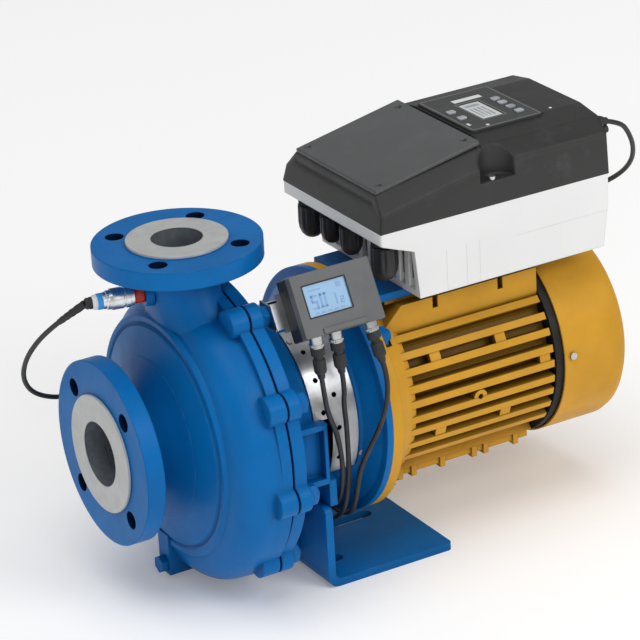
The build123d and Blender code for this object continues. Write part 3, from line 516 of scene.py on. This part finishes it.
def make_monitor():
    bm = bmesh.new()
    for k, text in enumerate("50"):
        digit(bm, MONITOR, text, -27 + 9.5 * k, -5.5, 7, 14, 2.3, 1.0, 1.25)
    slab(bm, MONITOR, -18.9, -17.6, 1.0, 1.25, -5.5, -4.1)
    digit(bm, MONITOR, "1", -4, -5.5, 4.5, 11, 1.9, 1.0, 1.25)
    digit(bm, MONITOR, "2", 3.5, -5.5, 4.2, 6.5, 1.3, 1.0, 1.25)
    slab(bm, MONITOR, 3, 8, 1.0, 1.25, 10.5, 15)
    slab(bm, MONITOR, -27, -14, 1.0, 1.25, 12.5, 13.6)
    for k in range(5):
        slab(bm, MONITOR, -26 + 7 * k, -22 + 7 * k, 1.0, 1.25, -10, -8.8)
    piece("monitor_digits", bm, "print")
    bm = bmesh.new()
    for x0, x1, z0, z1 in ((-34, 14.4, 18.2, 19.4), (-34, 14.4, -13, -11.8),
                           (-34, -32.8, -11.8, 18.2), (13.2, 14.4, -11.8, 18.2)):
        slab(bm, MONITOR, x0, x1, -0.5, 0.4, z0, z1)
    piece("monitor_frame", bm, "black", bevel=0.0005)


PLUGS = [((179, -118.5, 109), (0.05, -0.09, -1)), ((200.5, -118.5, 109), (0.07, -0.1, -1)),
         ((239.5, -119, 110), (0.14, -0.3, -1))]


SOCKET = [(-9, 6.4), (-1, 6.4), (-0.6, 7.2), (1.6, 7.2), (2, 6.6), (3, 6.6)]
PLUG = [(3, 6.2), (3.4, 6.8), (10.6, 6.8), (11, 6.2), (11.2, 4.6), (15, 4.6), (15.3, 5.8), (16, 6.2),
        (27, 6.2), (29, 5.4), (30, 4.2), (35, 3.4), (35, 2.7)]


def make_plugs():
    metal_bm, black_bm = bmesh.new(), bmesh.new()
    for start, direction in PLUGS:
        place = axis_matrix(start, direction)
        lathe(metal_bm, place, SOCKET, 96, 24, 0.5, (2, 3))
        lathe(black_bm, place, PLUG, 96, 20, 0.6, (1, 2, 7, 8))
    piece("socket_collars", metal_bm, "stainless", replaces=["monitor_sockets"])
    piece("plug_bodies", black_bm, "black", replaces=["monitor_plugs"])


# ---------------------------------------------------------------- sensors
def sleeve(bm, points, radii, sides=28):
    """Adds a tapered, ringed sleeve along a line of points in metres."""
    rings = []
    for k, (place, radius) in enumerate(zip(points, radii)):
        ahead = points[min(k + 1, len(points) - 1)] - points[max(k - 1, 0)]
        turn = ahead.normalized().to_track_quat("Z", "Y").to_matrix()
        r = radius * MM
        ring = [place + turn @ Vector((r * cos(2 * pi * j / sides), r * sin(2 * pi * j / sides), 0))
                for j in range(sides)]
        rings.append([bm.verts.new(v) for v in ring])
    for low, high in zip(rings, rings[1:]):
        for j in range(sides):
            n = (j + 1) % sides
            bm.faces.new((low[j], low[n], high[n], high[j]))
    bm.faces.new(rings[0][::-1])
    bm.faces.new(rings[-1])


def lead_line(lead, reach):
    """Points of a lead's own curve over its first stretch, in metres."""
    plain = lead.data.copy()
    plain.bevel_depth = 0
    bare = bpy.data.objects.new("bare", plain)
    mesh = bpy.data.meshes.new_from_object(bare)
    found, gone = [], 0.0
    for vertex in mesh.vertices:
        if found:
            gone += (vertex.co - found[-1]).length
        if gone > reach:
            break
        found.append(vertex.co.copy())
    bpy.data.objects.remove(bare)
    bpy.data.curves.remove(plain)
    bpy.data.meshes.remove(mesh)
    return found


SENSORS = [((69, 1, 151), (-0.98, 0.2, 0)), ((36, 41, 0), (0, 1, 0))]
CAP = [(8, 7.2), (8.8, 8.5), (16.6, 8.5), (18, 7.6)]
CASE = [(18, 8.2), (18.6, 9.6), (22, 9.6), (22.3, 10.5), (27, 10.5), (27.4, 9.7), (28.6, 9.7), (29, 10.5),
        (40, 10.5), (41, 9.6), (45, 9.2), (45.6, 8.4), (49, 8.0)]
BAND = [(49, 7.5), (49.4, 8.0), (53.6, 8.0), (54, 7.5)]
COLLAR = [(54, 6.9), (54.5, 7.4), (57.4, 7.2), (59, 6.2)]
BOOT = [(59, 5.6), (59.6, 6.0), (61.2, 6.0), (61.6, 5.4), (62.6, 5.4), (63, 5.8), (64.4, 5.6), (66, 4.2)]


def make_sensors(leads):
    cap, case, band, collar, boot = (bmesh.new() for _ in range(5))
    for (root, direction), lead in zip(SENSORS, leads):
        place = axis_matrix(root, direction)
        lathe(cap, place, CAP, 96, 24, 0.5, (1, 2))
        lathe(case, place, CASE, 64, 32, 0.35, (8,))
        lathe(band, place, BAND, 48)
        lathe(collar, place, COLLAR, 48)
        lathe(boot, place, BOOT, 48)
        line = lead_line(lead, 0.026)
        start = place @ Vector((0, 0, 66 * MM))
        line = [start, start.lerp(line[0], 0.5)] + line
        radii = [4.2 - 1.1 * k / (len(line) - 1) - (0.35 if k % 3 == 1 else 0) for k in range(len(line))]
        sleeve(boot, line, radii)
    piece("sensor_caps", cap, "red", replaces=["sensor_bases"])
    piece("sensor_cases", case, "bright", replaces=["sensor_bodies"])
    piece("sensor_rings", band, "cyan", replaces=["sensor_bands"])
    piece("sensor_collars", collar, "white")
    piece("sensor_boots", boot, "black", replaces=["sensor_reliefs"])


# ---------------------------------------------------------------- drive panel
PANEL_TOP = 250.5


def make_rim():
    """The end shield's spigot, which the cowl is pushed onto."""
    bm = bmesh.new()
    place = axis_matrix((0, 0, 0), (1, 0, 0))
    lathe(bm, place, [(466, 84), (466, 99.5), (472, 99.9), (473, 101.15), (478, 101.15), (478, 84)], 160)
    # Its near-black iron is painted shade under the cowl.
    piece("end_shield_spigot", bm, "shadow_iron")


def make_seams():
    """Faint mould lines on both long sides of the drive's pale housing."""
    bm = bmesh.new()
    plain = Matrix.Identity(4)
    for side in (-1, 1):
        y0, y1 = sorted((side * 92.9, side * 93.12))
        for x in (343, 366, 381):
            slab(bm, plain, x, x + 0.35, y0, y1, 113, 156)
        slab(bm, plain, 424, 532, y0, y1, 149.6, 149.95)
    piece("housing_mould_lines", bm, "seam")




def make_panel():
    plain = Matrix.Identity(4)
    low, high = PANEL_TOP - 0.05, PANEL_TOP + 0.12
    bm = bmesh.new()
    for x0, x1, y0, y1 in ((406.5, 485.5, -49, -48.4), (406.5, 485.5, 48.4, 49), (406.5, 407.1, -49, 49),
                           (484.9, 485.5, -49, 49), (430, 430.5, -30, 21), (457.5, 458, -30, 21),
                           (430, 458, -30.5, -30), (430, 458, 21, 21.5)):
        slab(bm, plain, x0, x1, y0, y1, low, high)
    piece("panel_lines", bm, "line")
    bm = bmesh.new()
    slab(bm, plain, 433, 466, 26, 33.5, low, high)
    slab(bm, plain, 410, 413, -36, -30, low, high)
    lathe(bm, axis_matrix((503, -40, 248.6), (0, 0, 1)), [(0, 1.6), (0.5, 1.6), (0.9, 1.0)], 24)
    piece("panel_patches", bm, "white")
    bm = bmesh.new()
    for k in range(4):
        slab(bm, plain, 436 + 4.4 * k, 438.2 + 4.4 * k, -22, 4, PANEL_TOP - 0.65, PANEL_TOP - 0.5)
    slab(bm, plain, 436, 452, 8, 14, PANEL_TOP - 0.65, PANEL_TOP - 0.5)
    piece("panel_segments", bm, "key")
    bm = bmesh.new()
    for side in (-1, 1):
        lathe(bm, axis_matrix((414, side * 86, 212), (0, 0, 1)), [(-2, 2.4), (0.35, 2.4), (0.5, 2.1)], 32)
        lathe(bm, axis_matrix((400, side * 56, 243.2), (0, 0, 1)), [(-2, 2.6), (0.3, 2.6), (0.5, 2.2)], 32)
    piece("cover_drain_plugs", bm, "black")


# ---------------------------------------------------------------- leads
DISCHARGE_LEAD = [(-0.7, 17.1, 147.1), (-11.5, 23.4, 138.9), (-20.5, 39, 124.5), (-28, 60, 104),
                  (-32, 82, 78), (-28, 101, 50), (-13, 114, 26), (13, 121, 11), (41, 130, 4), (70, 146, 0),
                  (101, 161, -6), (135, 169, -15), (166, 161, -32), (192, 143, -54), (213, 115, -78),
                  (223, 78, -96), (226, 38, -104), (224, 0, -104), (219, -34, -101), (214, -62, -95),
                  (210, -84, -84), (208, -98, -67), (207.5, -105, -45), (205, -109, -20), (199, -113, 7),
                  (188, -117, 33), (181.5, -123.1, 58.3), (180.7, -121.6, 74.2)]
SUCTION_LEAD = [(36.8, 113.9, -0.4), (38.6, 128.8, -1.3), (43, 146, -4), (56, 164, -13), (78, 172, -24),
                (107, 175, -35), (138, 173, -46), (170, 165, -60), (199, 148, -82), (220, 122, -103),
                (229, 92, -118), (231, 56, -127), (229, 18, -127), (224, -18, -122), (219, -50, -114),
                (215, -76, -102), (213, -94, -86), (213, -103, -63), (214, -106, -38), (213.5, -107, -12),
                (211, -111, 14), (206, -116.5, 39), (204, -123.6, 58.4), (202.9, -122, 74.3)]
SUPPLY_LEAD = [(244.2, -129, 76.8), (246.3, -133.5, 61.6), (243, -136, 36), (236, -132, 11),
               (227, -124, -13), (221, -115, -37), (220, -109, -62), (222, -98, -84), (226, -80, -100),
               (231, -52, -110), (236, -18, -114), (240, 20, -112), (239, 58, -101), (236, 92, -80),
               (236, 122, -48), (245, 142, -10), (266, 149, 27), (298, 148, 48), (338, 139, 61),
               (384, 130, 70), (432, 122, 75), (480, 116, 82), (523, 107, 90), (560, 86, 100),
               (586, 54, 110), (600, 20, 125), (605, -11, 145), (602, -37, 168), (592, -55, 192),
               (578, -66, 214), (565.6, -70.6, 227.8), (548.4, -70.3, 233)]


def make_lead(name, route, node):
    curve = bpy.data.curves.new(name, "CURVE")
    curve.dimensions = "3D"
    curve.bevel_depth = 0.0025
    curve.bevel_resolution = 6
    curve.resolution_u = 12
    curve.use_fill_caps = True
    spline = curve.splines.new("NURBS")
    spline.points.add(len(route) - 1)
    for point, place in zip(spline.points, metres(route)):
        point.co = (*place, 1)
    spline.order_u = 3
    spline.use_endpoint_u = True
    obj = bpy.data.objects.new(name, curve)
    bpy.context.scene.collection.objects.link(obj)
    curve.materials.append(M["cable"])
    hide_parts(node)
    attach(obj, "stationary")
    return obj


def make_leads():
    first = make_lead("discharge_lead", DISCHARGE_LEAD, "discharge_sensor_lead")
    second = make_lead("suction_lead", SUCTION_LEAD, "suction_sensor_lead")
    make_lead("supply_lead", SUPPLY_LEAD, "monitor_supply_lead")
    return first, second


# ---------------------------------------------------------------- floor and light
def make_stage():
    mesh = bpy.data.meshes.new("floor")
    bm = bmesh.new()
    bmesh.ops.create_grid(bm, x_segments=1, y_segments=1, size=40)
    bm.to_mesh(mesh)
    floor = bpy.data.objects.new("floor", mesh)
    floor.location = (0, 0, FLOOR)
    bpy.context.scene.collection.objects.link(floor)
    s = Shader("pale_floor")
    base = s.mix(s.noise(0.8, 3), (0.90, 0.90, 0.90), (0.93, 0.93, 0.93))
    s.link(base, s.bsdf.inputs["Base Color"])
    s.bsdf.inputs["Roughness"].default_value = 0.8
    s.bsdf.inputs["Specular IOR Level"].default_value = 0.1
    s.bsdf.inputs["Emission Color"].default_value = (1, 1, 1, 1)
    s.bsdf.inputs["Emission Strength"].default_value = 0.15
    mesh.materials.append(s.mat)
    world = bpy.data.worlds.new("studio")
    bpy.context.scene.world = world
    world.use_nodes = True
    background = world.node_tree.nodes["Background"]
    background.inputs["Color"].default_value = (1.0, 1.0, 1.0, 1)
    background.inputs["Strength"].default_value = 0.36
    bpy.context.scene.view_settings.view_transform = "Standard"


LIGHTS = [
    ("key", (1.5, -2.7, 2.0), 1.5, 33),
    ("front", (-0.9, -3.2, 1.6), 1.8, 13),
    ("left", (-2.6, 0.2, 0.7), 1.2, 2),
]


def make_lights():
    middle = Vector((0.25, 0, 0.03))
    for name, place, size, power in LIGHTS:
        data = bpy.data.lights.new(name, "AREA")
        data.size = size
        data.energy = power
        lamp = bpy.data.objects.new(name, data)
        lamp.location = place
        lamp.rotation_euler = (middle - Vector(place)).to_track_quat("-Z", "Y").to_euler()
        bpy.context.scene.collection.objects.link(lamp)
    data = bpy.data.lights.new("top", "SUN")
    data.angle = radians(50)
    data.energy = 1.25
    lamp = bpy.data.objects.new("top", data)
    lamp.rotation_euler = Vector((0.16, 0.14, -1)).to_track_quat("-Z", "Y").to_euler()
    bpy.context.scene.collection.objects.link(lamp)


make_camera()
make_materials()
sensor_leads = make_leads()
dress_nodes()
make_casing_bolts()
make_glands()
make_monitor()
make_plugs()
make_sensors(sensor_leads)
make_panel()
make_rim()
make_seams()
make_stage()
make_lights()
